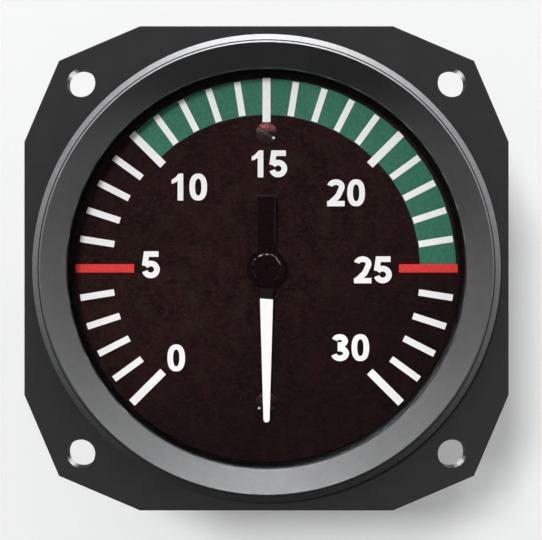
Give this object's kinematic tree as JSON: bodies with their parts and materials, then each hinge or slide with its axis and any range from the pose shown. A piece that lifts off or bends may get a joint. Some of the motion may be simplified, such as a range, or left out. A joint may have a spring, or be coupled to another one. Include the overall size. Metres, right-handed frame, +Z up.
{
  "type": "panel pressure gauge",
  "caption": "Round-dial panel pressure gauge: square flange with corner holes, grey bezel ring, white pointer on a crossed-coil movement, terminals at the back.",
  "frame": {"origin": "centre of the four mounting holes, on the back face of the flange, which lies on the panel", "axes": "+Y from the dial back into the panel, +Z up to 12 o'clock, +X to 3 o'clock"},
  "size_m": [0.0616, 0.0602, 0.0616],
  "materials": {
    "case_paint": "charcoal paint, matte",
    "bezel_metal": "turned ring, satin grey",
    "window_glass": "clear flat glass",
    "seal_rubber": "black rubber",
    "black_paint": "matte black paint",
    "dial_paint": "brown-black matte paint with white, red and green marks",
    "pointer_paint": "white paint on the lance, black at the root and tail",
    "dark_screw": "blackened, worn to metal",
    "brass": "turned brass",
    "tinned_brass": "tinned",
    "steel": "bright steel",
    "soft_iron": "drawn soft iron, plated",
    "plate_metal": "bare sheet",
    "cover_paint": "charcoal paint, matte",
    "jewel": "polished red jewel",
    "bobbin_plastic": "moulded, brown-black",
    "coil_wire": "enamelled copper wire",
    "magnet": "ground magnet",
    "board_laminate": "green board",
    "chip_plastic": "moulded black",
    "capacitor_can": "drawn can",
    "trimmer_plastic": "moulded blue",
    "trimmer_rotor": "moulded white",
    "wire_cover": "insulated wire",
    "insulator": "laminated insulator"
  },
  "bodies": {
    "case": {"case_body": "case_paint", "bezel_ring": "bezel_metal", "cover_glass": "window_glass", "glass_gasket": "seal_rubber", "cover_gasket": "seal_rubber", "spacer_ring": "black_paint", "dial": "dial_paint", "dial_screws": "dark_screw", "dial_pillars": "brass", "front_bearing": "brass", "board_spacers": "brass", "terminal_studs": "brass", "terminal_nuts": "brass", "solder_lugs": "tinned_brass", "coil_pins": "tinned_brass", "stop_pin": "steel", "movement_screws": "steel", "board_screws": "steel", "cover_screws": "steel", "terminal_washers": "steel", "shield_can": "soft_iron", "movement_plate": "plate_metal", "rear_cover": "cover_paint", "rear_jewel": "jewel", "bobbin_front": "bobbin_plastic", "bobbin_rear": "bobbin_plastic", "coil_cosine": "coil_wire", "coil_sine": "coil_wire", "parking_magnet": "magnet", "circuit_board": "board_laminate", "driver_chip": "chip_plastic", "voltage_regulator": "chip_plastic", "resistors": "chip_plastic", "capacitors": "capacitor_can", "zero_trimmer_body": "trimmer_plastic", "span_trimmer_body": "trimmer_plastic", "lead_wires": "wire_cover", "stud_bushings": "insulator", "insulating_washers": "insulator"},
    "pointer_rotor": {"pointer": "pointer_paint", "pointer_hub": "black_paint", "counterweight": "black_paint", "arbor": "steel", "stop_arm": "brass", "rotor_magnet": "magnet"},
    "zero_trimmer": {"zero_trimmer_rotor": "trimmer_rotor"},
    "span_trimmer": {"span_trimmer_rotor": "trimmer_rotor"}
  },
  "joints": [
    {"name": "pointer_turn", "type": "hinge", "parent": "case", "child": "pointer_rotor", "pos_m": [0, 0, 0], "axis": [0, 1, 0], "range_deg": [0, 320], "stiffness_Nm_per_rad": 0.00002},
    {"name": "zero_trimmer_turn", "type": "hinge", "parent": "case", "child": "zero_trimmer", "pos_m": [-0.01126, 0.028, 0.0065], "axis": [0, 1, 0], "range_deg": [-135, 135]},
    {"name": "span_trimmer_turn", "type": "hinge", "parent": "case", "child": "span_trimmer", "pos_m": [0.01126, 0.028, 0.0065], "axis": [0, 1, 0], "range_deg": [-135, 135]}
  ]
}
